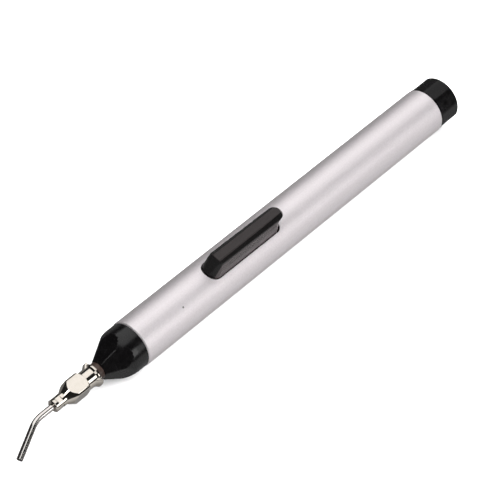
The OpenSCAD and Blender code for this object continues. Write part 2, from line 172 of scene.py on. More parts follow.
# a prism ring round the pen's axis with a many-sided hole, for cutting flats
def flatsCutter(sides, apothem, x0, x1, turnDeg):
    corner = apothem/math.cos(math.pi/sides)
    rim = 4                                    # times as wide as its hole
    deselect()
    bpy.ops.mesh.primitive_circle_add(vertices=sides, radius=corner*mm, fill_type="NOTHING")
    cutter = namePiece("flatsCutter")
    cutter.data.transform(Matrix.Translation(at(x0, 0)) @ rotation(turnDeg, "X")
                          @ rotation(90, "Y") @ rotation(180/sides, "Z"))
    editAll()
    bpy.ops.mesh.extrude_edges_move()
    bpy.ops.transform.resize(value=(1, rim, rim), center_override=at(x0, 0))
    bpy.ops.mesh.select_all(action="SELECT")
    extrudeBy(((x1 - x0)*mm, 0, 0))
    leaveEdit()
    tidyMesh()
    return cutter


# a flat outline with round corners, drawn as a plane whose corners are bevelled; the rear may lie higher
def roundOutline(name, x0, x1, width, frontCorner, rearCorner, frontZ, rearZ):
    deselect()
    bpy.ops.mesh.primitive_plane_add(size=1)
    piece = namePiece(name)
    size = Matrix.Diagonal(((x1 - x0)*mm, width*mm, 1, 1))
    piece.data.transform(Matrix.Translation(at((x0 + x1)/2, frontZ)) @ size)
    for corner, x in ((frontCorner, x0), (rearCorner, x1)):
        editSome(piece, "VERT", lambda point: abs(point.co.x - at(x, 0).x) < onLevel)
        bpy.ops.mesh.bevel(affect="VERTICES", offset=corner*mm, segments=8)
        leaveEdit()
    tilt = Matrix.Identity(4)
    tilt[2][0] = (rearZ - frontZ)/(x1 - x0)
    front = Matrix.Translation(at(x0, frontZ))
    piece.data.transform(front @ tilt @ front.inverted())
    return piece


def boxPiece(name, low, high):
    deselect()
    bpy.ops.mesh.primitive_cube_add(size=1)
    piece = namePiece(name)
    size = high - low
    piece.data.transform(Matrix.Translation((low + high)/2) @ Matrix.Diagonal((*size, 1)))
    return piece


def rodPiece(name, start, end, radius, sides=64):
    deselect()
    bpy.ops.mesh.primitive_cylinder_add(vertices=sides, radius=radius*mm, depth=(end - start).length)
    piece = namePiece(name)
    turn = (end - start).to_track_quat("Z", "Y").to_matrix().to_4x4()
    piece.data.transform(Matrix.Translation((start + end)/2) @ turn)
    return piece


# joins a tool to a piece or cuts it out, and clears the tool away
def combine(piece, tool, operation):
    applyModifier(piece, "BOOLEAN", {"operation": operation, "solver": "EXACT", "object": tool})
    bpy.data.objects.remove(tool)


def smoothOver(piece, angle):
    pickOnly(piece)
    bpy.ops.object.shade_smooth_by_angle(angle=math.radians(angle))


# rounds the sharp edges a little and smooths the rest
def soften(piece, width, segments=2, angle=30):
    applyModifier(piece, "BEVEL", {"width": width*mm, "segments": segments, "limit_method": "ANGLE",
                                   "angle_limit": math.radians(angle)})
    smoothOver(piece, angle)
    applyModifier(piece, "WEIGHTED_NORMAL", {"keep_sharp": True})


def settle(piece, body, material, slotName, *nodeNames):
    piece.data.materials.clear()
    piece.data.materials.append(material)
    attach(piece, body)
    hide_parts(*nodeNames)
    print("piece", piece.name, len(piece.data.polygons), "faces")


# view
view = {
    "azimuth": -48.37,                         # degrees, from the needle's side
    "elevation": 45.07,
    "penRoll": 15,                             # the camera is turned so that the key leans towards the viewer
    "aim": at(46.83, 0, 0.66),
    "distance": 650*mm,
    "lens": 170.2,
    "sensor": 36,
}


def addCamera():
    data = bpy.data.cameras.new("studioCamera")
    data.lens = view["lens"]
    data.sensor_width = view["sensor"]
    data.clip_start = 10*mm
    camera = bpy.data.objects.new("studioCamera", data)
    bpy.context.scene.collection.objects.link(camera)
    a, e = math.radians(view["azimuth"]), math.radians(view["elevation"])
    back = Vector((math.sin(a)*math.cos(e), -math.cos(a)*math.cos(e), math.sin(e)))
    turn = back.to_track_quat("Z", "Y").to_matrix().to_4x4()
    look = Matrix.Translation(view["aim"] + back*view["distance"]) @ turn
    toAxis = Matrix.Translation((0, 0, axisZ))
    camera.matrix_world = toAxis @ rotation(-view["penRoll"], "X") @ toAxis.inverted() @ look
    bpy.context.scene.camera = camera
    bpy.context.scene.view_settings.view_transform = "Standard"


addCamera()
print("camera set")


def linear(hexText):
    channels = [int(hexText[i:i + 2], 16)/255 for i in (1, 3, 5)]
    return [c/12.92 if c <= 0.04045 else ((c + 0.055)/1.055)**2.4 for c in channels] + [1]


# sockets of a colour Mix node, whose names serve several kinds
mixShare, mixLow, mixHigh, mixOut = 0, 6, 7, 2


# adds one node; a socket is linked and anything else is set as its value
def addNode(tree, kind, settings, inputs):
    node = tree.nodes.new(kind)
    for key, value in settings.items():
        setattr(node, key, value)
    for key, value in inputs.items():
        if isinstance(value, bpy.types.NodeSocket):
            tree.links.new(value, node.inputs[key])
        else:
            node.inputs[key].default_value = value
    return node


# the plain colour and roughness show where nothing is fed in their place
def newMaterial(name, hexColour, metallic, roughness):
    material = bpy.data.materials.new(name)
    material.use_nodes = True
    tree = material.node_tree
    shader = tree.nodes["Principled BSDF"]
    shader.inputs["Base Color"].default_value = linear(hexColour)
    shader.inputs["Metallic"].default_value = metallic
    shader.inputs["Roughness"].default_value = roughness
    place = addNode(tree, "ShaderNodeTexCoord", {}, {}).outputs["Object"]
    return material, tree, shader, place


# links the colour, roughness and bump that a material has worked out to its shader
def feed(tree, shader, tone, rough=None, bump=None):
    tree.links.new(tone.outputs[mixOut], shader.inputs["Base Color"])
    if rough is not None:
        tree.links.new(rough.outputs["Result"], shader.inputs["Roughness"])
    if bump is not None:
        tree.links.new(bump.outputs["Normal"], shader.inputs["Normal"])


# light: long soft boxes beside the pen, which the metal mirrors, and a ceiling that only whitens the floor
studio = {
    # degrees from overhead towards the viewer's side, distance, shift along the pen, length, width, radiance
    "boxes": {
        "leftBox": (-29, 0.9, 0.2, 0.6, 1.25, 1.78),
        "rearLeftBox": (-28, 0.9, 1.15, 1.3, 1.2, 1.24),
        "rightBox": (57, 0.9, 0.09, 0.68, 0.46, 3.7),      # the key's bevel mirrors the gap
        "rearRightBox": (57, 0.9, 1.55, 1.2, 0.46, 3.4),   # between these two
        "topBox": (-11, 0.9, -0.655, 0.25, 0.3, 9),
        "frontBox": (18, 0.6, -0.97, 0.6, 0.4, 1.5),
        "ceiling": (0, 1.5, 0, 2.6, 2.6, 4),
    },
    "room": 0.02,                              # how bright the dark walls are
    # and the floor, as the metal mirrors it: on the viewer's side from straight down to level,
    "nearFloor": (0.36, 1.1),
    "steepest": -0.85,
    # on the far side, with the change between the two,
    "farFloor": 0.28,
    "across": (-0.35, 0.45),
    # the share of it that is left behind the cap, with the change to that,
    "rearFloor": 0.1,
    "rearward": (0.55, 0.85),
    "horizon": 0.04,                           # and half the blur between floor and walls
    "paper": 3,                                # metres across
}


def addSoftBox(name):
    degrees, distance, shift, length, width, radiance = studio["boxes"][name]
    data = bpy.data.lights.new(name, "AREA")
    data.shape = "RECTANGLE"
    data.size = length
    data.size_y = width
    data.energy = radiance*math.pi*length*width
    box = bpy.data.objects.new(name, data)
    bpy.context.scene.collection.objects.link(box)
    box.visible_camera = False
    box.visible_glossy = name != "ceiling"
    box.matrix_world = (Matrix.Translation((0, 0, axisZ)) @ rotation(degrees, "X")
                        @ Matrix.Translation((shift, 0, distance)))


def addRoom():
    world = bpy.data.worlds.new("studioRoom")
    bpy.context.scene.world = world
    world.use_nodes = True
    tree = world.node_tree
    way = addNode(tree, "ShaderNodeTexCoord", {}, {}).outputs["Generated"]
    parts = addNode(tree, "ShaderNodeSeparateXYZ", {}, {"Vector": way})
    smooth = {"interpolation_type": "SMOOTHSTEP"}
    down, level = studio["nearFloor"]
    near = addNode(tree, "ShaderNodeMapRange", {}, {
        "Value": parts.outputs["Z"], "From Min": studio["steepest"], "From Max": 0,
        "To Min": down, "To Max": level})
    viewerSide, farSide = studio["across"]
    floor = addNode(tree, "ShaderNodeMapRange", smooth, {
        "Value": parts.outputs["Y"], "From Min": viewerSide, "From Max": farSide,
        "To Min": near.outputs["Result"], "To Max": studio["farFloor"]})
    penSide, capSide = studio["rearward"]
    rear = addNode(tree, "ShaderNodeMapRange", smooth, {
        "Value": parts.outputs["X"], "From Min": penSide, "From Max": capSide,
        "To Min": 1, "To Max": studio["rearFloor"]})
    whole = addNode(tree, "ShaderNodeMath", {"operation": "MULTIPLY"}, {
        0: floor.outputs["Result"], 1: rear.outputs["Result"]})
    above = addNode(tree, "ShaderNodeMapRange", smooth, {
        "Value": parts.outputs["Z"], "From Min": -studio["horizon"], "From Max": studio["horizon"],
        "To Min": whole.outputs["Value"], "To Max": studio["room"]})
    tree.links.new(above.outputs["Result"], tree.nodes["Background"].inputs["Strength"])
    tree.nodes["Background"].inputs["Color"].default_value = (1, 1, 1, 1)


# uncoated backdrop paper: plain white and dull, with a faint cloud of fibres
def matteWhitePaper():
    material, tree, shader, place = newMaterial("matteWhitePaper", "#fbfbfb", metallic=0, roughness=0.9)
    # fibres are near 0.03 mm, drawn as clouds of 1.5 mm
    fibres = addNode(tree, "ShaderNodeTexNoise", {}, {
        "Vector": place, "Scale": 1/(1.5*mm), "Detail": 3}).outputs["Fac"]
    tone = addNode(tree, "ShaderNodeMix", {"data_type": "RGBA"}, {
        mixShare: fibres, mixLow: linear("#fafafa"), mixHigh: linear("#fcfcfc")})
    rough = addNode(tree, "ShaderNodeMapRange", {}, {"Value": fibres, "To Min": 0.85, "To Max": 0.95})
    feed(tree, shader, tone, rough)
    return material


def addStudio():
    for name in studio["boxes"]:
        addSoftBox(name)
    addRoom()
    deselect()
    bpy.ops.mesh.primitive_plane_add(size=studio["paper"])
    floor = namePiece("paleFloor")
    floor.visible_glossy = False
    floor.data.materials.append(matteWhitePaper())


addStudio()
print("studio set")

# barrel: drawn tube with chamfered ends and the key's slot
barrelSizes = {"length": 124.3, "wall": 1, "edge": 0.35, "softEdge": 0.07,
               "slotStart": 27.5, "slotEnd": 55.85, "slotWidth": 6.5, "frontCorner": 3.1, "rearCorner": 2,
               "slotLow": 1, "slotHeight": 10}


def makeBarrel(material):
    s = barrelSizes
    bore = barrelRadius - s["wall"]
    chamfer = barrelRadius - s["edge"]
    barrel = turned("barrelTube", [
        (0, bore), (0, chamfer), (s["edge"], barrelRadius), (s["length"] - s["edge"], barrelRadius),
        (s["length"], chamfer), (s["length"], bore), (0, bore)], steps=160)
    slot = roundOutline("slotCutter", s["slotStart"], s["slotEnd"], s["slotWidth"], s["frontCorner"],
                        s["rearCorner"], s["slotLow"], s["slotLow"])
    editAll()
    extrudeBy((0, 0, s["slotHeight"]*mm))
    leaveEdit()
    tidyMesh()
    combine(barrel, slot, "DIFFERENCE")
    soften(barrel, s["softEdge"])
    settle(barrel, "pen", material, "satin_aluminium", "barrel")


# nose: turned collar, shoulder and cone with flat facets, hollow behind
noseSizes = {"radius": 6.85, "collar": 2.5, "domeRadius": 12, "domeDeg": 31, "length": 12.1,
             "tipWidth": 4.95, "facets": 6, "facetDeg": 28.1, "facetStock": 0.15, "turn": 4,
             "shank": 2.02, "boss": 3.3, "bossEnd": 8, "hollow": 4.66, "hollowFront": 1.25,
             "spigot": 5.96, "spigotEnd": 10, "softEdge": 0.14}


def makeNose(material):
    s = noseSizes
    tip = s["tipWidth"]/2/math.cos(math.pi/s["facets"]) + s["facetStock"]
    shoulder = [(-x, r) for x, r in arc(s["collar"], s["radius"] - s["domeRadius"], s["domeRadius"],
                                        0, s["domeDeg"], steps=10)]
    nose = turned("noseCone", [(0, s["radius"])] + shoulder + [
        (-s["length"], tip), (-s["length"], s["shank"]), (s["bossEnd"], s["shank"]),
        (s["bossEnd"], s["boss"]), (-s["hollowFront"], s["boss"]), (-s["hollowFront"], s["hollow"]),
        (s["spigotEnd"], s["hollow"]), (s["spigotEnd"], s["spigot"]), (0, s["spigot"]),
        (0, s["radius"])], steps=144)
    tilt = math.radians(s["facetDeg"])
    for i in range(s["facets"]):
        a = math.radians(s["turn"] + (i + 0.5)*360/s["facets"])
        side = Vector((0, -math.sin(a), math.cos(a)))
        sliceOff(at(-s["length"], 0) + side*(s["tipWidth"]/2*mm),
                 side*math.cos(tilt) - Vector((math.sin(tilt), 0, 0)))
    tidyMesh()
    soften(nose, s["softEdge"], segments=1, angle=14)
    settle(nose, "pen", material, "black_gloss_plastic", "nose_cone")


# cap: a rounded plug with shallow grip flats
capSizes = {"length": 7.9, "radius": 6.9, "edge": 1, "land": 0.45, "flats": 10, "flatDepth": 0.2,
            "overcut": 2, "hollow": 4.66, "hollowEnd": 5.5, "spigot": 5.96, "spigotLength": 9,
            "softEdge": 0.1}


def makeCap(material):
    s = capSizes
    start = barrelSizes["length"]
    end = start + s["length"]
    roundEnd = arc(end - s["edge"], s["radius"] - s["edge"], s["edge"], 0, 90, steps=8)
    back = start - s["spigotLength"]
    inside = start + s["hollowEnd"]
    cap = turned("endCap", [(start, s["radius"])] + roundEnd + [
        (end, 0), (inside, 0), (inside, s["hollow"]), (back, s["hollow"]), (back, s["spigot"]),
        (start, s["spigot"]), (start, s["radius"])], steps=120)
    combine(cap, flatsCutter(s["flats"], s["radius"] - s["flatDepth"], start + s["land"],
                             end + s["overcut"], 180/s["flats"]), "DIFFERENCE")
    soften(cap, s["softEdge"], angle=12)
    settle(cap, "pen", material, "black_gloss_plastic", "end_cap")


# luer fitting: turned taper, shoulder ring, shank and hose barb
luerSizes = {"ring": 2.55, "ringLength": 1.5, "taperBase": 2.208, "taperTip": 1.98, "taperLength": 7.6,
             "shank": 2, "shankEnd": 8, "root": 0.73, "barb": 0.88, "ridge": 13, "lead": 14.4, "end": 16,
             "air": 0.8, "airEnd": 7, "thinAir": 0.45, "softEdge": 0.06}


def makeLuer(material):
    s = luerSizes
    nose = noseSizes["length"]
    base = nose + s["ringLength"]
    tip = base + s["taperLength"]
    luer = turned("luerFitting", [
        (-tip, s["air"]), (-tip, s["taperTip"]), (-base, s["taperBase"]), (-base, s["ring"]),
        (-nose, s["ring"]), (-nose, s["shank"]), (s["shankEnd"], s["shank"]), (s["shankEnd"], s["root"]),
        (s["ridge"], s["root"]), (s["ridge"], s["barb"]), (s["lead"], s["barb"]), (s["end"], s["root"]),
        (s["end"], s["thinAir"]), (s["airEnd"], s["thinAir"]), (s["airEnd"], s["air"]),
        (-tip, s["air"])], steps=72)
    soften(luer, s["softEdge"])
    settle(luer, "pen", material, "browned_brass", "luer_fitting")


# hub: turned and plated, with two lugs, a square block and a crimped front
hubSizes = {"rear": 13.9, "length": 15.2, "rim": 3.2, "rimThick": 0.55, "neck": 2.75, "neckLength": 3.9,
            "corner": 3.6, "shoulder": 0.8, "block": 4.6, "blockWidth": 5.6, "cone": 2.8, "front": 1.85,
            "frontEdge": 0.3, "socket": 2.239, "socketLength": 7.7, "socketEnd": 2.008, "needle": 0.935,
            "lug": 3.6, "lugWidth": 3.6, "lugRoot": 0.3, "web": 1.2, "turn": 4,
            "crimpDepth": 0.22, "crimp": 1.5, "crimpBack": 2.1, "softEdge": 0.09}


def makeHub(material):
    s = hubSizes
    rear, front = s["rear"], s["rear"] + s["length"]
    rimEnd = rear + s["rimThick"]
    neckEnd = rear + s["neckLength"]
    blockEnd = neckEnd + s["block"]
    coneEnd = blockEnd + s["cone"]
    socketEnd = rear + s["socketLength"]
    hub = turned("needleHub", [
        (-rear, s["socket"]), (-rear, s["rim"]), (-rimEnd, s["rim"]),
        (s["neck"] - s["rim"] - rimEnd, s["neck"]), (-neckEnd, s["neck"]),
        (-neckEnd - s["shoulder"], s["corner"]), (-blockEnd, s["corner"]), (-coneEnd, s["front"]),
        (s["frontEdge"] - front, s["front"]), (-front, s["front"] - s["frontEdge"]),
        (-front, s["needle"]), (-socketEnd, s["needle"]), (-socketEnd, s["socketEnd"]),
        (-rear, s["socket"])], steps=96)
    root = s["neck"] - s["lugRoot"]
    webEnd = rimEnd + s["web"]
    lugs = turned("hubLugs", [
        (-rear, root), (-rear, s["lug"]), (-rimEnd, s["lug"]), (-webEnd, s["neck"]), (-webEnd, root),
        (-rear, root)], steps=96)
    turn = math.radians(s["turn"])
    up = Vector((0, -math.sin(turn), math.cos(turn)))
    for side in (1, -1):
        sliceOff(at(-rear, 0) + up*side*s["lugWidth"]/2*mm, up*side)
    tidyMesh()
    combine(hub, lugs, "UNION")
    combine(hub, flatsCutter(4, s["blockWidth"]/2, -coneEnd, -neckEnd, s["turn"]), "DIFFERENCE")
    crimpMiddle = s["crimpBack"] - front
    combine(hub, flatsCutter(4, s["front"] - s["crimpDepth"], crimpMiddle - s["crimp"]/2,
                             crimpMiddle + s["crimp"]/2, s["turn"]), "DIFFERENCE")
    soften(hub, s["softEdge"], segments=3, angle=18)
    settle(hub, "needle", material, "nickel_plate", "needle_hub")


# needle: a thin tube drawn out, bent and drawn out again
needleSizes = {"radius": 0.915, "wall": 0.22, "inside": 6.6, "corner": 6.1, "tip": 11.5, "bendDeg": 28,
               "bendRadius": 9, "turnDeg": 245, "softEdge": 0.04}


def makeNeedle(material):
    s = needleSizes
    hubFront = hubSizes["rear"] + hubSizes["length"]
    bend = math.radians(s["bendDeg"])
    cut = s["bendRadius"]*math.tan(bend/2)
    turn = math.radians(s["turnDeg"])
    side = Vector((0, math.sin(turn), math.cos(turn)))     # the way the tip bends
    ahead = Vector((-1, 0, 0))
    tipWay = ahead*math.cos(bend) + side*math.sin(bend)
    deselect()
    bpy.ops.mesh.primitive_circle_add(vertices=56, radius=s["radius"]*mm, fill_type="NOTHING")
    needle = namePiece("needleTube")
    needle.data.transform(Matrix.Translation(at(s["inside"] - hubFront, 0)) @ rotation(90, "Y"))
    bendStart = at(cut - s["corner"] - hubFront, 0)
    editAll()
    extrudeBy(ahead*(s["inside"] + s["corner"] - cut)*mm)
    bpy.ops.mesh.spin(steps=20, angle=bend, center=bendStart + side*s["bendRadius"]*mm,
                      axis=side.cross(ahead))
    extrudeBy(tipWay*(s["tip"] - cut)*mm)
    leaveEdit()
    tidyMesh()
    applyModifier(needle, "SOLIDIFY", {"thickness": s["wall"]*mm, "offset": -1})
    soften(needle, s["softEdge"])
    settle(needle, "needle", material, "needle_steel", "needle_tube")


# key: skirt, tapered sides and bevelled top on a lever that lies under the barrel's wall
keySizes = {
    # level: front, rear, width, front corner, rear corner, height in front and behind
    "levels": [(27.7, 55.1, 6.1, 2.9, 1.8, 3.9, 3.9), (27.7, 55.1, 6.1, 2.9, 1.8, 6.2, 6.2),
               (29.58, 55.1, 5.06, 1.45, 1.8, 10.02, 10.02), (30.35, 57.1, 4.5, 0.58, 2.23, 11.6, 10.6),
               (30.6, 55.95, 2.2, 0.29, 1.08, 12.1, 12.1)],
    "softEdge": 0.22, "lipRadius": 5.75, "lipHalf": 4.15, "lipStart": 24.55, "tail": 59.8, "leverZ": 3.38,
    "hingeX": 22.8, "hingeZ": 2.93, "knuckle": 1.15, "knuckleWidth": 4.6, "armLap": 1, "pinHole": 0.65,
    "holeHalf": 8, "stubX": 57.3, "stubRadius": 1.36, "stubLength": 1, "stubLap": 0.1,
    "pockets": 4, "pocketStart": 31.7, "pitch": 5.575, "pocketLength": 4.475, "pocketWidth": 2.3,
    "pocketTop": 10.94, "pocketLap": 0.5}


# which of the key's levels a point lies on
def keyLevel(point):
    for i, (x0, x1, width, frontCorner, rearCorner, frontZ, rearZ) in enumerate(keySizes["levels"]):
        share = (point.x - at(x0, 0).x)/((x1 - x0)*mm)
        if abs(point.z - at(0, frontZ + (rearZ - frontZ)*share).z) < onLevel:
            return i


# the part above the lever: one outline for each level, bridged from one to the next
def keyBody():
    s = keySizes
    key = joinAll([roundOutline("keyLevel%d" % i, *level) for i, level in enumerate(s["levels"])], "thumbKey")
    top = len(s["levels"]) - 1

    def levelsOf(part):
        return {keyLevel(key.data.vertices[i].co) for i in part.vertices}

    for low in range(top):
        editSome(key, "EDGE", lambda edge: levelsOf(edge) in ({low}, {low + 1}))
        bpy.ops.mesh.bridge_edge_loops()
        leaveEdit()
    # the outlines inside the body go
    editSome(key, "FACE", lambda face: len(levelsOf(face)) == 1 and not levelsOf(face) & {0, top})
    bpy.ops.mesh.delete(type="FACE")
    leaveEdit()
    tidyMesh()
    soften(key, s["softEdge"], segments=3, angle=20)
    return key


def makeKey(material):
    s = keySizes
    key = keyBody()
    lever = rodPiece("lever", at(s["lipStart"], 0), at(s["tail"], 0), s["lipRadius"], sides=160)
    sliceOff(at(0, s["leverZ"]), (0, 0, -1))
    for side in (1, -1):
        sliceOff(at(0, 0, side*s["lipHalf"]), (0, side, 0))
    tidyMesh()
    combine(key, lever, "UNION")
    half = s["knuckleWidth"]/2
    arm = boxPiece("arm", at(s["hingeX"], s["leverZ"], -half),
                   at(s["lipStart"] + s["armLap"], s["hingeZ"] + s["knuckle"], half))
    combine(key, arm, "UNION")
    knuckle = rodPiece("knuckle", at(s["hingeX"], s["hingeZ"], -half), at(s["hingeX"], s["hingeZ"], half),
                       s["knuckle"])
    combine(key, knuckle, "UNION")
    stub = rodPiece("stub", at(s["stubX"], s["leverZ"] - s["stubLength"]),
                    at(s["stubX"], s["leverZ"] + s["stubLap"]), s["stubRadius"])
    combine(key, stub, "UNION")
    for i in range(s["pockets"]):
        x = s["pocketStart"] + i*s["pitch"]
        pocket = boxPiece("pocket", at(x, s["leverZ"] - s["pocketLap"], -s["pocketWidth"]/2),
                          at(x + s["pocketLength"], s["pocketTop"], s["pocketWidth"]/2))
        combine(key, pocket, "DIFFERENCE")
    hole = rodPiece("pinHole", at(s["hingeX"], s["hingeZ"], -s["holeHalf"]),
                    at(s["hingeX"], s["hingeZ"], s["holeHalf"]), s["pinHole"])
    combine(key, hole, "DIFFERENCE")
    smoothOver(key, angle=24)
    settle(key, "key", material, "black_satin_plastic", "thumb_key")


# bulb: a round rubber bottle with a long neck
bulbSizes = {"neckStart": 8.2, "neck": 1.4, "neckBore": 0.9, "shoulder": 27.5, "shoulderLength": 3,
             "radius": 3.18, "wall": 0.9, "end": 53.9, "softEdge": 0.2, "keep": 0.54}


def makeBulb(material):
    s = bulbSizes
    inner = s["radius"] - s["wall"]
    body = s["shoulder"] + s["shoulderLength"]
    dome = s["end"] - s["radius"]
    outside = arc(dome, 0, s["radius"], 0, 90, steps=12)[:-1]
    inside = arc(dome, 0, inner, 90, 0, steps=12)[1:]
    bulb = turned("squeezeBulb", [
        (s["neckStart"], s["neck"]), (s["shoulder"], s["neck"]), (body, s["radius"])] + outside + [
        (s["end"], 0), (dome + inner, 0)] + inside + [
        (body, inner), (s["shoulder"], s["neckBore"]), (s["neckStart"], s["neckBore"]),
        (s["neckStart"], s["neck"])], steps=64)
    soften(bulb, s["softEdge"], segments=3)
    settle(bulb, "pen", material, "bulb_rubber", "squeeze_bulb")
    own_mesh(bulb)


# spring: round wire wound with a closed turn at each end
springSizes = {"x": 57.3, "coil": 1.85, "wire": 0.24, "bottom": -4.13, "lift": 0.25, "closedPitch": 0.5,
               "openPitch": 1.4725, "openTurns": 4, "keep": 0.56}


def makeSpring(material):
    s = springSizes
    height = s["lift"]
    coils = []
    for pitch, turns in ((s["closedPitch"], 1), (s["openPitch"], s["openTurns"]), (s["closedPitch"], 1)):
        deselect()
        bpy.ops.mesh.primitive_circle_add(vertices=12, radius=s["wire"]*mm, fill_type="NOTHING")
        coil = namePiece("springCoil")
        coil.data.transform(Matrix.Translation((s["coil"]*mm, 0, height*mm)) @ rotation(90, "X"))
        applyModifier(coil, "SCREW", {"screw_offset": pitch*mm, "iterations": turns, "steps": 40,
                                      "render_steps": 40})
        coils.append(coil)
        height += pitch*turns
    spring = joinAll(coils, "returnSpring")
    spring.data.transform(Matrix.Translation(at(s["x"], s["bottom"])))
    editAll()
    bpy.ops.mesh.remove_doubles(threshold=0.01*mm)
    bpy.ops.mesh.select_all(action="DESELECT")
    bpy.ops.mesh.select_non_manifold()
    bpy.ops.mesh.fill_holes(sides=0)
    leaveEdit()
    tidyMesh()
    smoothOver(spring, angle=40)
    settle(spring, "pen", material, "needle_steel", "return_spring")
    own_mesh(spring)


# blasted and anodised tube: broad soft reflections, a fine grit, faint drawing lines and one small nick
def satinAnodisedAluminium():
    material, tree, shader, place = newMaterial("satinAnodisedAluminium", "#eee9eb", metallic=1,
                                                roughness=0.58)
    # the real grit is near 0.05 mm, drawn at 0.45 mm so that it shows
    grit = addNode(tree, "ShaderNodeTexNoise", {}, {
        "Vector": place, "Scale": 1/(0.45*mm), "Detail": 3, "Roughness": 0.65}).outputs["Fac"]
    # drawing lines near 0.05 mm wide, drawn at 0.5 mm and fifty times as long
    along = addNode(tree, "ShaderNodeMapping", {}, {"Vector": place, "Scale": (0.02, 1, 1)})
    lines = addNode(tree, "ShaderNodeTexNoise", {}, {
        "Vector": along.outputs["Vector"], "Scale": 1/(0.5*mm), "Detail": 2}).outputs["Fac"]
    both = addNode(tree, "ShaderNodeMath", {"operation": "MULTIPLY_ADD"}, {0: lines, 1: 0.25, 2: grit})
    spread = addNode(tree, "ShaderNodeMapRange", {}, {
        "Value": both.outputs["Value"], "From Min": 0.35, "From Max": 0.9})
    plain = addNode(tree, "ShaderNodeMix", {"data_type": "RGBA"}, {
        mixShare: spread.outputs["Result"], mixLow: linear("#e6e0e2"), mixHigh: linear("#f5f0f2")})
    fromNick = addNode(tree, "ShaderNodeVectorMath", {"operation": "DISTANCE"}, {
        0: place, 1: at(15.8, 6.26, -3.12)})
    nick = addNode(tree, "ShaderNodeMapRange", {"interpolation_type": "SMOOTHSTEP"}, {
        "Value": fromNick.outputs["Value"], "From Min": 0.15*mm, "From Max": 0.4*mm,
        "To Min": 0.75, "To Max": 0})
    tone = addNode(tree, "ShaderNodeMix", {"data_type": "RGBA"}, {
        mixShare: nick.outputs["Result"], mixLow: plain.outputs[mixOut], mixHigh: linear("#4a4644")})
    rough = addNode(tree, "ShaderNodeMapRange", {}, {"Value": grit, "To Min": 0.5, "To Max": 0.68})
    bump = addNode(tree, "ShaderNodeBump", {}, {
        "Height": both.outputs["Value"], "Strength": 0.25, "Distance": 0.03*mm})
    feed(tree, shader, tone, rough, bump)
    return material


# moulded gloss ABS: near black with clear reflections, slightly wavy from the mould, with a faint handling
# haze; with a lower sheen it is the same plastic dulled by hands
def glossBlackAbs(name, sheen):
    material, tree, shader, place = newMaterial(name, "#060607", metallic=0, roughness=0.2)
    shader.inputs["IOR"].default_value = 1.5
    shader.inputs["Specular IOR Level"].default_value = sheen
    # haze in patches of 2.2 mm, mould waves 1.6 mm long
    haze = addNode(tree, "ShaderNodeTexNoise", {}, {
        "Vector": place, "Scale": 1/(2.2*mm), "Detail": 5, "Roughness": 0.7}).outputs["Fac"]
    wave = addNode(tree, "ShaderNodeTexNoise", {}, {
        "Vector": place, "Scale": 1/(1.6*mm), "Detail": 1}).outputs["Fac"]
    tone = addNode(tree, "ShaderNodeMix", {"data_type": "RGBA"}, {
        mixShare: haze, mixLow: linear("#030303"), mixHigh: linear("#090809")})
    rough = addNode(tree, "ShaderNodeMapRange", {}, {
        "Value": haze, "From Min": 0.3, "From Max": 0.75, "To Min": 0.12, "To Max": 0.34})
    bump = addNode(tree, "ShaderNodeBump", {}, {"Height": wave, "Strength": 0.15, "Distance": 0.02*mm})
    feed(tree, shader, tone, rough, bump)
    return material


# moulded satin ABS: warm black, greyer on top where the thumb rubs, with finely sparked sides painted a
# lighter grey as painted sheen
def satinBlackAbs():
    material, tree, shader, place = newMaterial("satinBlackAbs", "#0d0b0b", metallic=0, roughness=0.28)
    shader.inputs["IOR"].default_value = 1.5
    shader.inputs["Specular IOR Level"].default_value = 0.25
    # spark grain near 0.08 mm, drawn at 0.3 mm so that it shows
    grain = addNode(tree, "ShaderNodeTexNoise", {}, {
        "Vector": place, "Scale": 1/(0.3*mm), "Detail": 3, "Roughness": 0.6}).outputs["Fac"]
    parts = addNode(tree, "ShaderNodeSeparateXYZ", {}, {"Vector": place})
    # the rub reaches 0.25 mm down from the top, and the sides' painted sheen begins outside the bevel
    topZ = keySizes["levels"][-1][5]
    bevelHalf = keySizes["levels"][-2][2]/2
    rub = addNode(tree, "ShaderNodeMapRange", {"interpolation_type": "SMOOTHSTEP"}, {
        "Value": parts.outputs["Z"], "From Min": at(0, topZ - 0.25).z, "From Max": at(0, topZ - 0.02).z})
    # the sides, outside the bevel, take the painted sheen
    out = addNode(tree, "ShaderNodeMath", {"operation": "ABSOLUTE"}, {0: parts.outputs["Y"]})
    side = addNode(tree, "ShaderNodeMapRange", {"interpolation_type": "SMOOTHSTEP"}, {
        "Value": out.outputs["Value"], "From Min": bevelHalf*mm, "From Max": (bevelHalf + 0.2)*mm})
    rubbed = addNode(tree, "ShaderNodeMath", {"operation": "MULTIPLY"}, {0: rub.outputs["Result"], 1: grain})
    topTone = addNode(tree, "ShaderNodeMix", {"data_type": "RGBA"}, {
        mixShare: rubbed.outputs["Value"], mixLow: linear("#0b0a0a"), mixHigh: linear("#241f1f")})
    # painted sheen: the sides get a lighter grey than the top for the light they catch, mottled by the spark
    # grain
    paintedSheenSideTone = addNode(tree, "ShaderNodeMix", {"data_type": "RGBA"}, {
        mixShare: grain, mixLow: linear("#2d2829"), mixHigh: linear("#403b3b")})
    tone = addNode(tree, "ShaderNodeMix", {"data_type": "RGBA"}, {
        mixShare: side.outputs["Result"], mixLow: topTone.outputs[mixOut], mixHigh: paintedSheenSideTone.outputs[mixOut]})
    rough = addNode(tree, "ShaderNodeMapRange", {}, {
        "Value": rub.outputs["Result"], "To Min": 0.17, "To Max": 0.38})
    bump = addNode(tree, "ShaderNodeBump", {}, {"Height": grain, "Strength": 0.3, "Distance": 0.02*mm})
    feed(tree, shader, tone, rough, bump)
    return material


ringScale = 2*math.pi/20                       # a wave texture's band is a twentieth of a turn long


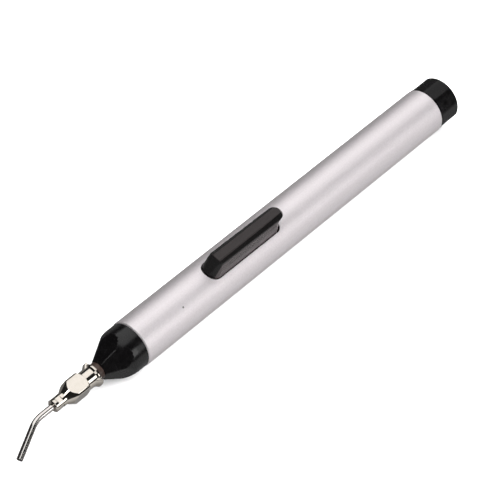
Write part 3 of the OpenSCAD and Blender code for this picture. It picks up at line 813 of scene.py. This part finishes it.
# turned brass under bright nickel: mirror reflections, slightly warm, with fine turning rings round the axis
def brightNickelPlate():
    material, tree, shader, place = newMaterial("brightNickelPlate", "#c8c3ba", metallic=1, roughness=0.08)
    # rings 0.2 mm apart, cloudy in patches of 1.2 mm
    rings = addNode(tree, "ShaderNodeTexWave", {"wave_type": "BANDS", "bands_direction": "X"}, {
        "Vector": place, "Scale": ringScale/(0.2*mm), "Distortion": 0.4, "Detail": 1}).outputs["Fac"]
    cloud = addNode(tree, "ShaderNodeTexNoise", {}, {
        "Vector": place, "Scale": 1/(1.2*mm), "Detail": 4}).outputs["Fac"]
    tone = addNode(tree, "ShaderNodeMix", {"data_type": "RGBA"}, {
        mixShare: cloud, mixLow: linear("#b5aea5"), mixHigh: linear("#c4beb6")})
    rough = addNode(tree, "ShaderNodeMapRange", {}, {
        "Value": cloud, "From Min": 0.35, "From Max": 0.7, "To Min": 0.05, "To Max": 0.16})
    bump = addNode(tree, "ShaderNodeBump", {}, {"Height": rings, "Strength": 0.12, "Distance": 0.006*mm})
    feed(tree, shader, tone, rough, bump)
    return material


# drawn stainless steel: bright, with fine lines along the tube left by the drawing die
def drawnStainlessSteel():
    material, tree, shader, place = newMaterial("drawnStainlessSteel", "#beb9b6", metallic=1, roughness=0.16)
    # the die's lines are near 0.02 mm, drawn at 0.3 mm and five times as long
    along = addNode(tree, "ShaderNodeMapping", {}, {"Vector": place, "Scale": (0.2, 1, 1)})
    lines = addNode(tree, "ShaderNodeTexNoise", {}, {
        "Vector": along.outputs["Vector"], "Scale": 1/(0.3*mm), "Detail": 2}).outputs["Fac"]
    tone = addNode(tree, "ShaderNodeMix", {"data_type": "RGBA"}, {
        mixShare: lines, mixLow: linear("#b0aba8"), mixHigh: linear("#cbc7c4")})
    rough = addNode(tree, "ShaderNodeMapRange", {}, {"Value": lines, "To Min": 0.1, "To Max": 0.18})
    bump = addNode(tree, "ShaderNodeBump", {}, {"Height": lines, "Strength": 0.02, "Distance": 0.004*mm})
    feed(tree, shader, tone, rough, bump)
    return material


# turned brass coloured a dull dark brown, the dark tone partly painted shade for the recess the ring sits in
# between nose and hub, with rings where the tool ran and stains
def brownBrassWithPaintedShade():
    material, tree, shader, place = newMaterial("brownBrassWithPaintedShade", "#2e211c", metallic=0.35, roughness=0.42)
    # rings 0.3 mm apart, stains of 0.8 mm
    rings = addNode(tree, "ShaderNodeTexWave", {"wave_type": "BANDS", "bands_direction": "X"}, {
        "Vector": place, "Scale": ringScale/(0.3*mm), "Distortion": 1, "Detail": 2}).outputs["Fac"]
    stain = addNode(tree, "ShaderNodeTexNoise", {}, {
        "Vector": place, "Scale": 1/(0.8*mm), "Detail": 4}).outputs["Fac"]
    tone = addNode(tree, "ShaderNodeMix", {"data_type": "RGBA"}, {
        # painted shade in part: the brown tones are kept dark for the recess between nose and hub
        mixShare: stain, mixLow: linear("#18110f"), mixHigh: linear("#3b2c26")})
    bump = addNode(tree, "ShaderNodeBump", {}, {"Height": rings, "Strength": 0.2, "Distance": 0.01*mm})
    feed(tree, shader, tone, bump=bump)
    return material


# moulded nitrile rubber: dull red-brown with a dusty bloom in patches of 1.5 mm
def mouldedRubber():
    material, tree, shader, place = newMaterial("mouldedRubber", "#7d2f2a", metallic=0, roughness=0.7)
    bloom = addNode(tree, "ShaderNodeTexNoise", {}, {
        "Vector": place, "Scale": 1/(1.5*mm), "Detail": 5}).outputs["Fac"]
    tone = addNode(tree, "ShaderNodeMix", {"data_type": "RGBA"}, {
        mixShare: bloom, mixLow: linear("#6d2622"), mixHigh: linear("#93453d")})
    rough = addNode(tree, "ShaderNodeMapRange", {}, {"Value": bloom, "To Min": 0.55, "To Max": 0.85})
    bump = addNode(tree, "ShaderNodeBump", {}, {"Height": bloom, "Strength": 0.2, "Distance": 0.03*mm})
    feed(tree, shader, tone, rough, bump)
    return material


# moulded acetal: waxy grey with a fine mould grain of 0.25 mm
def greyAcetal():
    material, tree, shader, place = newMaterial("greyAcetal", "#5b5f63", metallic=0, roughness=0.5)
    grain = addNode(tree, "ShaderNodeTexNoise", {}, {
        "Vector": place, "Scale": 1/(0.25*mm), "Detail": 3}).outputs["Fac"]
    tone = addNode(tree, "ShaderNodeMix", {"data_type": "RGBA"}, {
        mixShare: grain, mixLow: linear("#55595d"), mixHigh: linear("#64686c")})
    bump = addNode(tree, "ShaderNodeBump", {}, {"Height": grain, "Strength": 0.2, "Distance": 0.02*mm})
    feed(tree, shader, tone, bump=bump)
    return material


# rolled brass strip: yellow, with rolling lines 0.15 mm apart round the ring
def rolledBrass():
    material, tree, shader, place = newMaterial("rolledBrass", "#d9b25e", metallic=1, roughness=0.3)
    lines = addNode(tree, "ShaderNodeTexWave", {"wave_type": "BANDS", "bands_direction": "X"}, {
        "Vector": place, "Scale": ringScale/(0.15*mm), "Distortion": 2, "Detail": 2}).outputs["Fac"]
    tone = addNode(tree, "ShaderNodeMix", {"data_type": "RGBA"}, {
        mixShare: lines, mixLow: linear("#cba350"), mixHigh: linear("#e2be70")})
    rough = addNode(tree, "ShaderNodeMapRange", {}, {"Value": lines, "To Min": 0.24, "To Max": 0.38})
    feed(tree, shader, tone, rough)
    return material


# gives a solid that stays as it is its material
def dress(nodeName, material):
    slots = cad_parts[nodeName].data.materials
    slots.clear()
    slots.append(material)


steel = drawnStainlessSteel()
makeBarrel(satinAnodisedAluminium())
makeNose(glossBlackAbs("glossBlackAbs", sheen=0.28))
makeCap(glossBlackAbs("handledBlackAbs", sheen=0.17))
makeLuer(brownBrassWithPaintedShade())
makeHub(brightNickelPlate())
makeNeedle(steel)
makeKey(satinBlackAbs())
makeBulb(mouldedRubber())
makeSpring(steel)
dress("hinge_pin", steel)
dress("cradle", greyAcetal())
dress("hose_clamp", rolledBrass())
print("pieces dressed")
